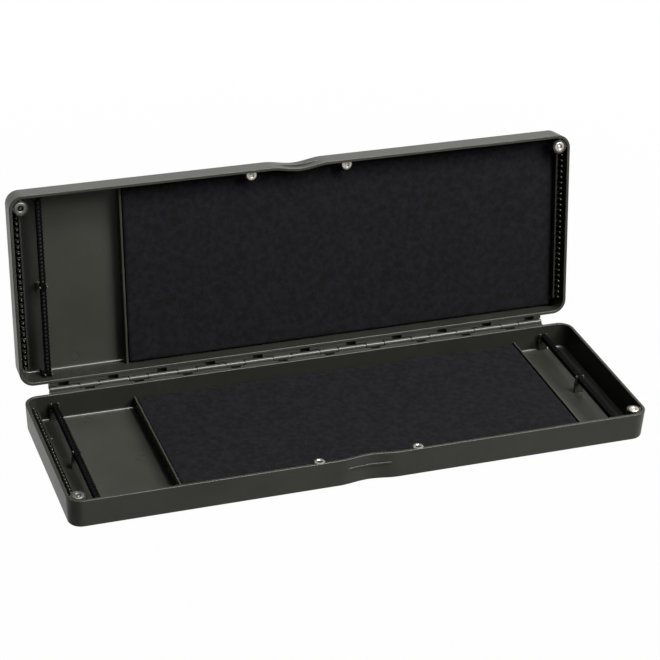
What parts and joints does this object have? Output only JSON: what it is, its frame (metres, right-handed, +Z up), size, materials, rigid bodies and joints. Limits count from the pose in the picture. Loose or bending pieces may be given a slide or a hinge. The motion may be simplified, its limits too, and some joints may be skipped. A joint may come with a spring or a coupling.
{
  "type": "fishing rig box",
  "caption": "Slim hinged storage box for tied fishing rigs, standing open: two shallow trays with foam pads, pegged end combs, drilled pin rails, dividers and magnet closures.",
  "frame": {"origin": "centre of the base's flat underside", "axes": "+X along the box to the right, +Y from the front edge to the hinge, +Z up"},
  "size_m": [0.365, 0.1603, 0.1435],
  "materials": {
    "tray_plastic": "fine satin moulded, dark olive grey",
    "foam": "matt closed-cell foam, charcoal with faint blue-grey mottling",
    "rail_plastic": "satin black",
    "magnet_nickel": "bright nickel plating",
    "pin_steel": "drawn wire"
  },
  "bodies": {
    "base": {"base_tray": "tray_plastic", "hinge_pin": "pin_steel", "base_foam_pad": "foam", "base_left_comb": "tray_plastic", "base_left_pin_rail": "rail_plastic", "base_right_pin_rail": "rail_plastic", "base_left_corner_magnet": "magnet_nickel", "base_left_front_magnet": "magnet_nickel", "base_right_corner_magnet": "magnet_nickel", "base_right_front_magnet": "magnet_nickel"},
    "lid": {"lid_tray": "tray_plastic", "lid_foam_pad": "foam", "lid_left_comb": "tray_plastic", "lid_right_comb": "tray_plastic", "lid_left_pin_rail": "rail_plastic", "lid_left_corner_magnet": "magnet_nickel", "lid_left_front_magnet": "magnet_nickel", "lid_right_corner_magnet": "magnet_nickel", "lid_right_front_magnet": "magnet_nickel"}
  },
  "joints": [
    {"name": "lid_hinge", "type": "hinge", "parent": "base", "child": "lid", "pos_m": [0, 0.0651, 0.01865], "axis": [1, 0, 0], "range_deg": [0, 98]}
  ]
}
